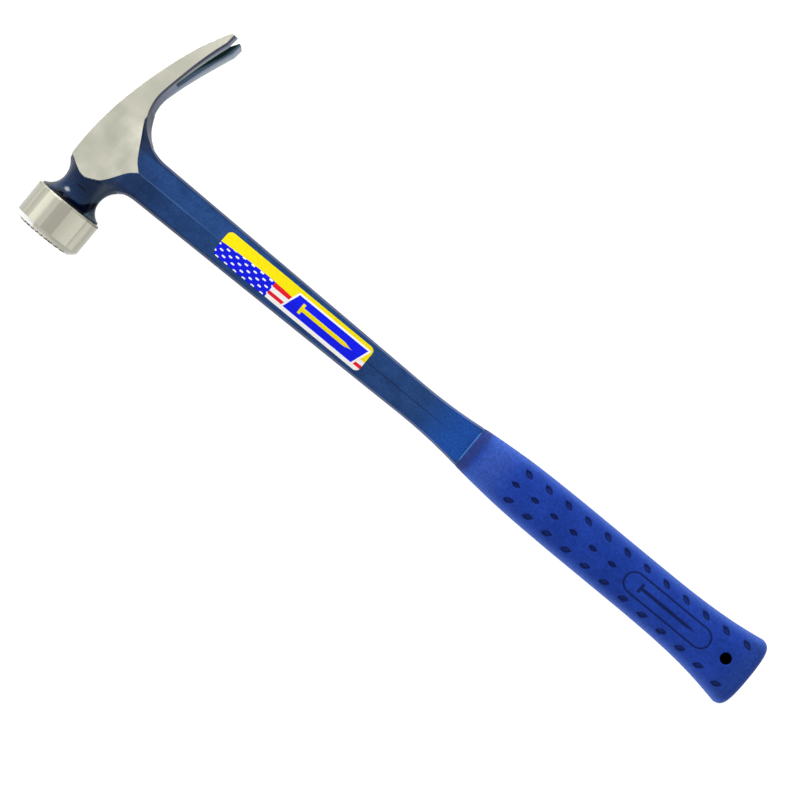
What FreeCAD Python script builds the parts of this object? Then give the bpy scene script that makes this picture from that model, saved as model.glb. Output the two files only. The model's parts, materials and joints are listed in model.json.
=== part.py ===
"""One-piece forged claw hammer of the 16 in class, lying on its side.

Everything is modelled in the hammer's own layout and moved to its rest place on export:
  x runs along the handle, from the top of the striking poll (0) to the butt,
  y runs across it, from the striking face (negative) to the claw tips (positive),
  z is the thickness, and the forging's parting plane is z = 0.
"""
import FreeCAD, Part
import math
import os

from FreeCAD import Vector

# ---------------------------------------------------------------- driving dimensions, mm
TOTAL_LENGTH = 405.4

POLL_RADIUS = 17.25
POLL_AXIS_X = POLL_RADIUS       # the poll's side is the top of the hammer
POLL_BACK_Y = -31.8
POLL_FRONT_Y = -48.2
POLL_BACK_ROUNDING = 1.0
POLL_RIM_BULGE = 0.55           # the rim between side and face is eased in a shallow curve
FACE_RADIUS = 13.0
FACE_RIM_Y = -51.6
FACE_CROWN = 0.45               # the face's centre stands this far proud of its rim
TOOTH_PITCH = 2.6
TOOTH_DEPTH = 1.8
GROOVE_STEEPNESS = 1.5          # depth of a milled groove over half its width

NECK_RADIUS = 9.9
NECK_POLL_FILLET = 8.5
NECK_CHEEK_FILLET = 11.0
NECK_POLL_STEP = 0.72           # the fillet stops this far short of the poll's back
NECK_WAIST_Y = (-23.0, -22.5)   # the straight waist between the two fillets
NECK_CHEEK_TURN = 46.0          # degrees of the fillet at the cheek, before the shoulder rounds it off
NECK_SHOULDER_RADIUS = 4.0

HEAD_CORNER = (5.1, -12.4)      # where the top of the head meets the neck
HEAD_FOOT = (8.1, -14.0)        # the cheek runs on to here beside the neck
HEAD_TOP_MIDDLE = (10.9, 35.0)
GRINDING_END_X = 36.0           # nothing is ground beyond this
CLAW_TIP = (29.4, 78.4)
CLAW_TIP_THICKNESS = 0.9
CLAW_TIP_SLANT = 0.09           # each tip is cut back by this much per mm away from the parting plane
CLAW_HEEL = (29.7, 72.4)        # the chisel bevel under the tip starts here
ARCH_RADIUS = 21.3              # the curve from the shank to the claws' underside
ARCH_X = 40.1
ARCH_LEAN = 10.0                # degrees past square to the handle, where the claws take over
ARCH_LOW_END = -60.0            # degrees round the arch where the shank's root takes over
CLAW_BLOCK_END = (22.0, 9.0)    # the claws' block ends here, inside the shank's root
CLAW_UNDER_MIDDLE = (23.3, 53.0)
FORGING_HALF_THICKNESS = 20.0   # before grinding

SLOT_ROOT_Y = 43.3              # the nail slot is open at the tips, the top and the underside
SLOT_TOP_X = 12.0               # its narrow side, just clear of the top of the head
SLOT_TOP_HALF_WIDTH = 1.5
SLOT_LEAN = 0.25                # each wall leans out by this much per mm towards the underside
SLOT_SPREAD = 0.02              # and by this much per mm towards the tips
SLOT_CORNER_RADIUS = 1.2

SHANK_HALF_WIDTH = 11.05        # at the head end
SHANK_WAIST_HALF_WIDTH = 8.9
SHANK_WAIST_X = 204.0
SHANK_FLARE_RADIUS = 254.0      # widens again towards the grip
SHANK_EDGE_DRAFT = 1.1          # the edges lean in by this much from the parting plane
SHANK_DRAFT_X = (27.6, 38.5)    # the draft grows from nothing between these two

GRIP_START_X = 235.5
TANG_END_X = 378.0
TANG_HALF_WIDTHS = (8.0, 6.5)   # at the grip's mouth and at its end
TANG_HALF_THICKNESS = 3.6
TANG_CORNER_RADIUS = 2.0

BUTT_CORNER_RADIUS = 4.5
HANG_HOLE_X = 390.1
HANG_HOLE_RADIUS = 2.7

DIMPLE_SIZE = (5.6, 2.7, 1.0)   # length, width, depth
DIMPLE_OUTER_PITCH = 11.72
DIMPLE_MIDDLE_PITCH = 11.6
DIMPLE_OUTER_COUNT = 12
DIMPLE_MIDDLE_COUNT = 6
DIMPLE_OUTER_START_X = 265.5
DIMPLE_MIDDLE_START_X = 263.5
DIMPLE_TILT = 21.0
DIMPLE_SPREAD = (0.58, 0.67)    # how far out the outer rows sit, as a share of the grip's half width:
DIMPLE_SPREAD_COUNT = 8         # from the first pair to this one

ENAMEL_THICKNESS = 0.25
ENAMEL_EDGE = ((-10.0, 27.5), (17.5, 27.5), (25.0, 22.5))  # its masked end under the claws, x and y
LABEL_THICKNESS = 0.15
LABEL_X = (84.6, 172.8)
LABEL_HALF_WIDTH = 6.9
LABEL_CORNER_RADIUS = 2.6

# Stations of the swelling between the shank and the head:
# x, side towards the face, side towards the claws, shoulder height, ridge height.
# The ridge stands taller than the ground cheeks near the head and is ground away there.
ROOT_STATIONS = [
    (19.0, 17.0, 24.3, 7.6, 75.0),
    (21.0, 17.0, 22.0, 7.2, 58.0),
    (23.0, 17.0, 19.2, 6.5, 45.0),
    (25.6, 16.6, 16.6, 5.5, 30.4),
    (27.6, 16.0, 15.05, 5.0, 22.3),
    (29.5, 14.9, 13.9, 4.8, 17.5),
    (31.5, 13.5, 12.9, 4.8, 14.3),
    (33.5, 12.3, 12.2, 4.8, 12.7),
    (35.5, 11.6, 11.65, 4.8, 11.6),
    (38.5, 11.15, 11.15, 4.8, 10.0),
    (42.0, 11.05, 11.05, 4.8, 8.8),
    (46.5, 11.0, 11.0, 4.8, 8.0),
    (52.0, 10.93, 10.93, 4.8, 7.4),
    (58.0, 10.85, 10.85, 4.8, 7.1),
]

# The shank goes on straight from there to its waist, then flares while its ridge sinks into a shallow
# valley at the grip: x, shoulder height, ridge height.
SHANK_STATIONS = [
    (80.0, 4.8, 6.8),
    (110.0, 4.8, 6.6),
    (140.0, 4.85, 6.3),
    (170.0, 4.95, 5.95),
    (190.0, 5.05, 5.65),
    (SHANK_WAIST_X, 5.15, 5.4),
    (214.0, 5.35, 5.2),
    (224.0, 5.65, 5.2),
    (GRIP_START_X, 6.0, 5.5),
]

# Stations of the forging's sides under the claws: y, x of the underside, half thickness there.
# From the underside they slope out to the forging's full thickness, which grinding then trims.
UNDERSIDE_STATIONS = [
    (8.0, 34.2, 4.6),
    (12.0, 30.5, 4.6),
    (16.0, 26.6, 5.5),
    (20.0, 22.8, 7.2),
    (24.0, 20.5, 8.8),
    (28.0, 19.2, 10.5),
    (33.0, 18.8, 12.5),
    (40.0, 20.0, 15.0),
    (55.0, 23.8, 19.0),
    (82.0, 34.0, 27.0),
]
UNDERSIDE_SLOPE = 1.3

# Stations of the ground sides of the head:
# y, half thickness at the top of the head, half thickness at the underside, x of the top, x of the underside.
CHEEK_STATIONS = [
    (-23.0, 9.8, 12.9, 5.0, 30.0),
    (-13.0, 10.0, 12.6, 5.0, 30.0),
    (-3.0, 10.8, 11.7, 5.1, 30.0),
    (7.0, 11.3, 11.0, 6.0, 30.0),
    (17.0, 11.4, 9.2, 7.5, 26.0),
    (27.0, 11.4, 8.1, 9.2, 19.5),
    (37.0, 11.7, 9.3, 11.5, 19.5),
    (47.0, 12.7, 11.4, 14.8, 21.5),
    (57.0, 14.6, 14.1, 19.0, 24.0),
    (67.0, 16.3, 16.1, 23.6, 27.5),
    (80.0, 17.2, 17.2, 29.8, 31.5),
]

# Stations of the grip: x, half width, half thickness, distance off centre; the butt flares most on the
# face's side.
GRIP_STATIONS = [
    (GRIP_START_X, 11.1, 8.0, 0.0),
    (242.0, 11.75, 8.9, 0.0),
    (252.0, 12.6, 10.2, 0.0),
    (262.0, 13.3, 11.2, 0.0),
    (274.0, 13.75, 11.8, 0.0),
    (290.0, 14.0, 12.0, 0.0),
    (320.0, 14.05, 12.0, 0.0),
    (345.0, 14.1, 12.0, 0.0),
    (362.0, 14.4, 12.0, -0.1),
    (375.0, 15.1, 12.1, -0.2),
    (386.0, 16.2, 12.4, -0.35),
    (396.0, 17.7, 12.8, -0.5),
    (TOTAL_LENGTH + 2.0, 19.6, 13.3, -0.6),
]
GRIP_ROUNDNESS = 2.5            # 2 is an ellipse; more is boxier


CLEAR = 0.5                     # how far cutters run past what they cut
TOP_GRINDING_WAY = Vector(1.8, 2.6, 0)  # where the ground top heads beyond the claw tips


# ---------------------------------------------------------------- helpers
def line(start, end):
    return Part.LineSegment(start, end).toShape()


def arc(start, middle, end):
    return Part.Arc(start, middle, end).toShape()


def loft(sections, ruled=False):
    return Part.makeLoft(sections, True, ruled)


def rail(points, parameters):
    """A smooth curve through the points."""
    curve = Part.BSplineCurve()
    curve.interpolate(Points=points, Parameters=parameters)
    return curve.toShape()


def railed_solid(stations, parameters):
    """A closed solid with straight-sided sections; corner i of every section lies on one smooth rail."""
    rails = [rail([corners[i] for corners in stations], parameters) for i in range(len(stations[0]))]
    faces = [Part.makeRuledSurface(edge, rails[i - 1]) for i, edge in enumerate(rails)]
    for corners in (stations[0], stations[-1]):
        faces.append(Part.Face(Part.makePolygon(corners + corners[:1])))
    shell = Part.makeShell(faces)
    shell.sewShape()
    return Part.makeSolid(shell)


def mirrored_in_z(shape):
    return shape.mirror(Vector(0, 0, 0), Vector(0, 0, 1))


def block(low, high):
    size = Vector(*high) - Vector(*low)
    return Part.makeBox(size.x, size.y, size.z, Vector(*low))


def prism(edges, low_z, high_z):
    """The outline that the edges make, extruded from low_z to high_z."""
    face = Part.Face(Part.Wire(edges))
    face.translate(Vector(0, 0, low_z))
    return face.extrude(Vector(0, 0, high_z - low_z))


def flat(x, y):
    return Vector(x, y, 0)


# ---------------------------------------------------------------- the forging, before grinding
def shank_half_width(x):
    """Half width of the bare shank, straight to its waist and then flaring to the grip."""
    if x <= SHANK_WAIST_X:
        root_x, root_half_width = ROOT_STATIONS[-1][:2]
        part_way = (x - root_x) / (SHANK_WAIST_X - root_x)
        return root_half_width + (SHANK_WAIST_HALF_WIDTH - root_half_width) * part_way
    run = x - SHANK_WAIST_X
    return SHANK_WAIST_HALF_WIDTH + SHANK_FLARE_RADIUS - math.sqrt(SHANK_FLARE_RADIUS ** 2 - run ** 2)


def shank_section(x, face_side, claw_side, shoulder, ridge, skin):
    """Two roofed faces with drafted edges between them, which meet at the parting plane."""
    low_edge = -face_side - skin
    high_edge = claw_side + skin
    shoulder_z = shoulder + skin
    ridge_z = ridge + skin
    draft_start, draft_end = SHANK_DRAFT_X
    draft = SHANK_EDGE_DRAFT * min(1, max(0, (x - draft_start) / (draft_end - draft_start)))
    upper = [
        Vector(x, low_edge + draft, shoulder_z),
        Vector(x, 0, ridge_z),
        Vector(x, high_edge - draft, shoulder_z),
    ]
    lower = [Vector(point.x, point.y, -point.z) for point in reversed(upper)]
    return [Vector(x, low_edge, 0)] + upper + [Vector(x, high_edge, 0)] + lower


def shank(skin):
    """The forging's bar, from inside the cheek to the grip."""
    stations = list(ROOT_STATIONS)
    for x, shoulder, ridge in SHANK_STATIONS:
        half_width = shank_half_width(x)
        stations.append((x, half_width, half_width, shoulder, ridge))
    sections = [shank_section(*station, skin) for station in stations]
    return railed_solid(sections, [station[0] for station in stations])


def neck(skin):
    """The waisted neck, turned about the poll's axis, from the poll's back to inside the cheek."""
    waist_poll_y, waist_cheek_y = NECK_WAIST_Y
    radius = NECK_RADIUS + skin
    poll_fillet = NECK_POLL_FILLET - skin
    cheek_fillet = NECK_CHEEK_FILLET - skin
    poll_centre = (waist_poll_y, radius + poll_fillet)
    cheek_centre = (waist_cheek_y, radius + cheek_fillet)

    def on_fillet(centre, fillet, degrees):
        """The point that many degrees round a fillet from the waist; minus is towards the poll."""
        turn = math.radians(degrees)
        along = centre[0] + fillet * math.sin(turn)
        out = centre[1] - fillet * math.cos(turn)
        return Vector(POLL_AXIS_X + out, along, 0)

    poll_turn = -math.degrees(math.asin((waist_poll_y - POLL_BACK_Y - NECK_POLL_STEP) / NECK_POLL_FILLET))
    shoulder_start = on_fillet(cheek_centre, cheek_fillet, NECK_CHEEK_TURN)
    rounded = NECK_SHOULDER_RADIUS + skin
    shoulder_centre = on_fillet(cheek_centre, cheek_fillet + rounded, NECK_CHEEK_TURN)
    shoulder_turn = math.radians((90 - NECK_CHEEK_TURN) / 2)
    shoulder_way = Vector(math.cos(shoulder_turn), -math.sin(shoulder_turn), 0)
    shoulder_middle = shoulder_centre + shoulder_way * rounded
    shoulder_end = shoulder_centre + Vector(rounded, 0, 0)
    back = on_fillet(poll_centre, poll_fillet, poll_turn)
    inside_poll = Vector(back.x, POLL_BACK_Y - 1, 0)
    inside_cheek = Vector(shoulder_end.x, 0, 0)
    waist_poll = on_fillet(poll_centre, poll_fillet, 0)
    waist_cheek = on_fillet(cheek_centre, cheek_fillet, 0)
    profile = Part.Wire([
        line(Vector(POLL_AXIS_X, inside_poll.y, 0), inside_poll),
        line(inside_poll, back),
        arc(back, on_fillet(poll_centre, poll_fillet, poll_turn / 2), waist_poll),
        line(waist_poll, waist_cheek),
        arc(waist_cheek, on_fillet(cheek_centre, cheek_fillet, NECK_CHEEK_TURN / 2), shoulder_start),
        arc(shoulder_start, shoulder_middle, shoulder_end),
        line(shoulder_end, inside_cheek),
        line(inside_cheek, Vector(POLL_AXIS_X, 0, 0)),
        line(Vector(POLL_AXIS_X, 0, 0), Vector(POLL_AXIS_X, inside_poll.y, 0)),
    ])
    return Part.Face(profile).revolve(Vector(POLL_AXIS_X, 0, 0), Vector(0, 1, 0), 360)


def arch_point(degrees, skin):
    """A point of the arch; 0 degrees is square to the handle, minus is towards the shank."""
    radius = ARCH_RADIUS - skin
    turn = math.radians(degrees)
    centre_y = SHANK_HALF_WIDTH + ARCH_RADIUS
    return flat(ARCH_X - radius * math.cos(turn), centre_y + radius * math.sin(turn))


def claw_block(skin):
    """Cheek and claws as one thick plate, with the head's side outline."""
    corner = flat(*HEAD_CORNER)
    tip = flat(*CLAW_TIP)
    tip_end = tip + flat(CLAW_TIP_THICKNESS, -CLAW_TIP_THICKNESS / 3)
    heel = flat(*CLAW_HEEL)
    arch_top = arch_point(ARCH_LEAN, skin)
    arch_low = arch_point(ARCH_LOW_END, skin)
    inside_shank = flat(*CLAW_BLOCK_END)
    inside_neck = flat(CLAW_BLOCK_END[0], -CLAW_BLOCK_END[1])
    foot = flat(*HEAD_FOOT)
    edges = [
        arc(corner, flat(*HEAD_TOP_MIDDLE), tip),
        line(tip, tip_end),
        line(tip_end, heel),
        arc(heel, flat(*CLAW_UNDER_MIDDLE), arch_top),
        arc(arch_top, arch_point((ARCH_LEAN + ARCH_LOW_END) / 2, skin), arch_low),
        line(arch_low, inside_shank),
        line(inside_shank, inside_neck),
        line(inside_neck, foot),
        line(foot, corner),
    ]
    claws = prism(edges, -FORGING_HALF_THICKNESS, FORGING_HALF_THICKNESS)
    return claws.cut(outside_underside_slopes(skin)).cut(tip_slants())


def outside_underside_slopes(skin):
    """The space beyond the slopes that thin the forging towards the claws' underside."""
    reach = 20.0
    rise = reach * UNDERSIDE_SLOPE
    sections = []
    for y, under_x, under_z in UNDERSIDE_STATIONS:
        edge_x = under_x + skin
        edge_z = under_z + skin
        upper = [
            Vector(-reach, y, edge_z + rise),
            Vector(edge_x - reach, y, edge_z + rise),
            Vector(edge_x, y, edge_z),
            Vector(edge_x + reach, y, edge_z),
        ]
        lower = [Vector(point.x, y, -point.z) for point in reversed(upper)]
        sections.append(upper + lower)
    inside = railed_solid(sections, [station[0] for station in UNDERSIDE_STATIONS])
    first_y = UNDERSIDE_STATIONS[0][0] + CLEAR
    last_y = UNDERSIDE_STATIONS[-1][0] - CLEAR
    forging = FORGING_HALF_THICKNESS + CLEAR
    return block((0, first_y, -forging), (GRINDING_END_X, last_y, forging)).cut(inside)


def tip_slants():
    """Two wedges that cut the claw tips back away from the parting plane."""
    tip_y = CLAW_TIP[1] + CLEAR
    reach = FORGING_HALF_THICKNESS + CLEAR
    above = reach * CLAW_TIP_SLANT + CLAW_TIP_THICKNESS
    corners = [
        Vector(0, tip_y, 0),
        Vector(0, tip_y - reach * CLAW_TIP_SLANT, reach),
        Vector(0, tip_y + above, reach),
        Vector(0, tip_y + above, 0),
    ]
    wedge = Part.Face(Part.makePolygon(corners + corners[:1])).extrude(Vector(2 * CLAW_TIP[0], 0, 0))
    return [wedge, mirrored_in_z(wedge)]


def ground_limits():
    """The space inside the ground top and sides of the head; the shank and poll are outside it."""
    reach = 12.0
    sections = []
    for y, top_z, under_z, top_x, under_x in CHEEK_STATIONS:
        lean = (under_z - top_z) / (under_x - top_x)
        near_x = top_x - reach
        far_x = under_x + reach
        near_z = top_z - lean * reach
        far_z = under_z + lean * reach
        sections.append([
            Vector(near_x, y, near_z),
            Vector(far_x, y, far_z),
            Vector(far_x, y, -far_z),
            Vector(near_x, y, -near_z),
        ])
    sides = railed_solid(sections, [station[0] for station in CHEEK_STATIONS])

    corner = flat(*HEAD_CORNER)
    tip = flat(*CLAW_TIP)
    low = flat(HEAD_CORNER[0] - CLEAR, CHEEK_STATIONS[0][0] - 1)
    past_tip = tip + TOP_GRINDING_WAY
    outside_x = 2 * CLAW_TIP[0]
    top = prism([
        line(low, corner),
        arc(corner, flat(*HEAD_TOP_MIDDLE), tip),
        line(tip, past_tip),
        line(past_tip, flat(outside_x, past_tip.y)),
        line(flat(outside_x, past_tip.y), flat(outside_x, low.y)),
        line(flat(outside_x, low.y), low),
    ], -2 * POLL_RADIUS, 2 * POLL_RADIUS)
    return sides.common(top)


def poll():
    """The round striking poll with its milled face."""
    axis_back = Vector(POLL_AXIS_X, POLL_BACK_Y, 0)
    rim = Vector(POLL_AXIS_X + FACE_RADIUS, FACE_RIM_Y, 0)
    crown = Vector(POLL_AXIS_X, FACE_RIM_Y - FACE_CROWN, 0)
    crown_middle = Vector(POLL_AXIS_X + FACE_RADIUS / 2, FACE_RIM_Y - FACE_CROWN * 0.75, 0)
    side_x = POLL_AXIS_X + POLL_RADIUS
    turned_in = POLL_BACK_ROUNDING * (1 - math.sqrt(0.5))
    back_start = Vector(side_x - POLL_BACK_ROUNDING, POLL_BACK_Y, 0)
    back_middle = Vector(side_x - turned_in, POLL_BACK_Y - turned_in, 0)
    back_end = Vector(side_x, POLL_BACK_Y - POLL_BACK_ROUNDING, 0)
    front_edge = Vector(side_x, POLL_FRONT_Y, 0)
    outwards = Vector(front_edge.y - rim.y, rim.x - front_edge.x, 0).normalize()
    rim_middle = (front_edge + rim) * 0.5 + outwards * POLL_RIM_BULGE
    profile = Part.Wire([
        line(axis_back, back_start),
        arc(back_start, back_middle, back_end),
        line(back_end, front_edge),
        arc(front_edge, rim_middle, rim),
        arc(rim, crown_middle, crown),
        line(crown, axis_back),
    ])
    blank = Part.Face(profile).revolve(Vector(POLL_AXIS_X, 0, 0), Vector(0, 1, 0), 360)
    return blank.cut(milling_grooves())


def milling_grooves():
    """Two crossing sets of V grooves that leave small pyramids on the striking face."""
    bottom_y = FACE_RIM_Y - FACE_CROWN + TOOTH_DEPTH
    reach = TOOTH_DEPTH + CLEAR
    half_width = reach / GROOVE_STEEPNESS
    count = int(FACE_RADIUS / TOOTH_PITCH)
    half_length = POLL_RADIUS
    grooves = []
    for step in range(-count, count + 1):
        offset = step * TOOTH_PITCH
        groove = Part.makePolygon([
            Vector(offset, bottom_y, 0),
            Vector(offset - half_width, bottom_y - reach, 0),
            Vector(offset + half_width, bottom_y - reach, 0),
            Vector(offset, bottom_y, 0),
        ])
        upright = Part.Face(groove).extrude(Vector(0, 0, 2 * half_length))
        upright.translate(Vector(POLL_AXIS_X, 0, -half_length))
        crossing = upright.copy()
        crossing.rotate(Vector(POLL_AXIS_X, 0, 0), Vector(0, 1, 0), 90)
        grooves += [upright, crossing]
    return grooves


def rough_forging(skin):
    """Claws, shank and neck before grinding, with a skin of even thickness laid over them."""
    return claw_block(skin).fuse([shank(skin), neck(skin)])


def ground(shape):
    """The shape with the top and sides of its head ground away."""
    tallest = max(ridge for *others, ridge in ROOT_STATIONS) + CLEAR
    first_y = CHEEK_STATIONS[0][0] + CLEAR
    past_tip_y = 1.2 * CLAW_TIP[1]
    head_space = block((-POLL_RADIUS, first_y, -tallest), (GRINDING_END_X, past_tip_y, tallest))
    return shape.cut(head_space.cut(ground_limits()))


def rounded_rectangle(x, half_width, half_thickness, corner_radius):
    """A closed outline square to the handle at x."""
    inner_y = half_width - corner_radius
    inner_z = half_thickness - corner_radius
    corners = []
    for quarter in range(4):
        way = math.radians(45 + 90 * quarter)
        side_y = math.copysign(1, math.cos(way))
        side_z = math.copysign(1, math.sin(way))
        centre = Vector(x, side_y * inner_y, side_z * inner_z)
        on_corner = [
            centre + Vector(0, math.cos(way + turn), math.sin(way + turn)) * corner_radius
            for turn in (-math.pi / 4, 0, math.pi / 4)
        ]
        corners.append(on_corner)
    outline = []
    for corner, following in zip(corners, corners[1:] + corners[:1]):
        outline.append(arc(*corner))
        outline.append(line(corner[-1], following[0]))
    return Part.Wire(outline)


def tang():
    """The tail of the forging, which runs on inside the grip."""
    first_half_width, last_half_width = TANG_HALF_WIDTHS
    sections = [
        rounded_rectangle(GRIP_START_X - 1, first_half_width, TANG_HALF_THICKNESS, TANG_CORNER_RADIUS),
        rounded_rectangle(TANG_END_X, last_half_width, TANG_HALF_THICKNESS, TANG_CORNER_RADIUS),
    ]
    return loft(sections, ruled=True)


def nail_slot():
    """The slot between the claws: two flat walls, wider apart towards the underside and the tips."""
    def half_width_at(depth, y):
        return SLOT_TOP_HALF_WIDTH + SLOT_LEAN * depth + SLOT_SPREAD * (y - SLOT_ROOT_Y)

    depth = 30.0
    sections = []
    for y in (SLOT_ROOT_Y, CLAW_TIP[1] + 10):
        top = half_width_at(0, y)
        bottom = half_width_at(depth, y)
        sections.append([
            Vector(SLOT_TOP_X, y, -top),
            Vector(SLOT_TOP_X, y, top),
            Vector(SLOT_TOP_X + depth, y, bottom),
            Vector(SLOT_TOP_X + depth, y, -bottom),
        ])
    wedge = loft([Part.makePolygon(corners + corners[:1]) for corners in sections], ruled=True)
    root_edges = [edge for edge in wedge.Edges
                  if edge.BoundBox.YLength < CLEAR and edge.BoundBox.XLength > CLEAR
                  and edge.BoundBox.YMin < SLOT_ROOT_Y + CLEAR]
    return wedge.makeFillet(SLOT_CORNER_RADIUS, root_edges)


# ---------------------------------------------------------------- the sub-parts
def forged_steel():
    """Head, shank and tang, forged in one piece."""
    body = ground(rough_forging(0)).cut(nail_slot())
    return body.fuse([poll(), tang()])


def enamel_coat():
    """The blue enamel on the neck and shank; grinding has bared the rest of the head."""
    corners = [flat(ENAMEL_EDGE[0][0], POLL_BACK_Y)]
    corners += [flat(x, y) for x, y in ENAMEL_EDGE]
    corners += [flat(GRIP_START_X, ENAMEL_EDGE[-1][1]), flat(GRIP_START_X, POLL_BACK_Y)]
    outline = [line(start, end) for start, end in zip(corners, corners[1:] + corners[:1])]
    painted = prism(outline, -2 * POLL_RADIUS, 2 * POLL_RADIUS)
    skin = ground(rough_forging(ENAMEL_THICKNESS)).common(painted)
    return largest_solid(skin.cut(ground(rough_forging(0))).cut(poll()))


def largest_solid(shape):
    return max(shape.Solids, key=lambda solid: solid.Volume)


def printed_label():
    """The printed film on one side of the shank."""
    low_x, high_x = LABEL_X
    blank = block((low_x, -LABEL_HALF_WIDTH, 0), (high_x, LABEL_HALF_WIDTH, POLL_RADIUS))
    uprights = [edge for edge in blank.Edges if abs(edge.tangentAt(edge.FirstParameter).z) > 0.99]
    outline = blank.makeFillet(LABEL_CORNER_RADIUS, uprights)
    film = shank(ENAMEL_THICKNESS + LABEL_THICKNESS).common(outline)
    return film.cut(shank(ENAMEL_THICKNESS))


def grip_section(x, half_width, half_thickness, off_centre):
    points = []
    count = 24
    for step in range(count):
        turn = 2 * math.pi * step / count
        across = math.copysign(abs(math.cos(turn)) ** (2 / GRIP_ROUNDNESS), math.cos(turn))
        up = math.copysign(abs(math.sin(turn)) ** (2 / GRIP_ROUNDNESS), math.sin(turn))
        points.append(Vector(x, off_centre + across * half_width, up * half_thickness))
    curve = Part.BSplineCurve()
    curve.interpolate(points, PeriodicFlag=True)
    return Part.Wire(curve.toShape())


def grip_size_at(x):
    """Half width, half thickness and distance off centre of the grip at x, between its stations."""
    for near, far in zip(GRIP_STATIONS, GRIP_STATIONS[1:]):
        if near[0] <= x <= far[0]:
            part_way = (x - near[0]) / (far[0] - near[0])
            return tuple(near[i] + (far[i] - near[i]) * part_way for i in (1, 2, 3))
    raise ValueError(x)


def grip_blank():
    body = loft([grip_section(*station) for station in GRIP_STATIONS])
    widest = 2 * GRIP_STATIONS[-1][1]
    body = body.common(block((0, -widest, -widest), (TOTAL_LENGTH, widest, widest)))
    end_edges = [edge for edge in body.Edges
                 if abs(edge.BoundBox.XMin - TOTAL_LENGTH) < 0.01 and edge.BoundBox.XLength < 0.01]
    return body.makeFillet(BUTT_CORNER_RADIUS, end_edges)


def dimple(x, y, tilt):
    """A leaf-shaped pocket cutter on the upper face of the grip at x, y."""
    half_width, half_thickness, off_centre = grip_size_at(x)
    across = abs(y) / half_width
    fullness = 1 - across ** GRIP_ROUNDNESS
    z = half_thickness * fullness ** (1 / GRIP_ROUNDNESS)
    slope = half_thickness / half_width * across ** (GRIP_ROUNDNESS - 1)
    slope *= fullness ** (1 / GRIP_ROUNDNESS - 1)
    length, width, depth = DIMPLE_SIZE
    leaf = Part.Face(Part.Wire([
        arc(flat(-length / 2, 0), flat(0, width / 2), flat(length / 2, 0)),
        line(flat(length / 2, 0), flat(-length / 2, 0)),
    ])).revolve(Vector(0, 0, 0), Vector(1, 0, 0), 360)
    leaf.translate(Vector(0, 0, width / 2 - depth))
    leaf.rotate(Vector(0, 0, 0), Vector(0, 0, 1), tilt)
    leaf.rotate(Vector(0, 0, 0), Vector(1, 0, 0), -math.copysign(math.degrees(math.atan(slope)), y))
    leaf.translate(Vector(x, off_centre + y, z))
    return leaf


def dimples():
    """Two outer rows that point at the butt like chevrons, and a short middle row."""
    cutters = []
    first_spread, last_spread = DIMPLE_SPREAD
    for index in range(DIMPLE_OUTER_COUNT):
        x = DIMPLE_OUTER_START_X + index * DIMPLE_OUTER_PITCH
        part_way = min(1, index / DIMPLE_SPREAD_COUNT)
        y = (first_spread + (last_spread - first_spread) * part_way) * grip_size_at(x)[0]
        cutters.append(dimple(x, y, -DIMPLE_TILT))
        cutters.append(dimple(x, -y, DIMPLE_TILT))
    for index in range(DIMPLE_MIDDLE_COUNT):
        cutters.append(dimple(DIMPLE_MIDDLE_START_X + index * DIMPLE_MIDDLE_PITCH, 0, 0))
    return cutters + [mirrored_in_z(cutter) for cutter in cutters]


def moulded_grip():
    """The grip, moulded round the tang, with a hang hole through its butt."""
    hole_length = 4 * POLL_RADIUS
    hole = Part.makeCylinder(HANG_HOLE_RADIUS, hole_length, Vector(HANG_HOLE_X, 0, -hole_length / 2))
    return grip_blank().cut([tang(), hole]).cut(dimples())


# ---------------------------------------------------------------- placing and export
def placed(shape):
    """Moved so that the origin is under the middle of the hammer as it lies on its side."""
    face_y = FACE_RIM_Y - FACE_CROWN
    moved = shape.copy()
    moved.translate(Vector(-TOTAL_LENGTH / 2, -(face_y + CLAW_TIP[1]) / 2, POLL_RADIUS))
    return moved


def main():
    os.makedirs("parts", exist_ok=True)
    nodes = {
        "forged_steel_head_and_shank": forged_steel(),
        "blue_enamel_coat": enamel_coat(),
        "printed_shank_label": printed_label(),
        "moulded_grip": moulded_grip(),
    }
    for name, shape in nodes.items():
        solid = placed(shape)
        box = solid.BoundBox
        print(name, "valid", solid.isValid(), "solids", len(solid.Solids), "faces", len(solid.Faces),
              "volume", round(solid.Volume), "box",
              [round(v, 2) for v in (box.XMin, box.YMin, box.ZMin, box.XMax, box.YMax, box.ZMax)])
        solid.exportStep(f"parts/{name}.step")


main()
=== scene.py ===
"""Looks for the one-piece forged claw hammer: its finishes, moulded grip, printed label, light and camera."""
import json, math
import bmesh, bpy
import numpy as np
from mathutils import Matrix, Vector


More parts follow.
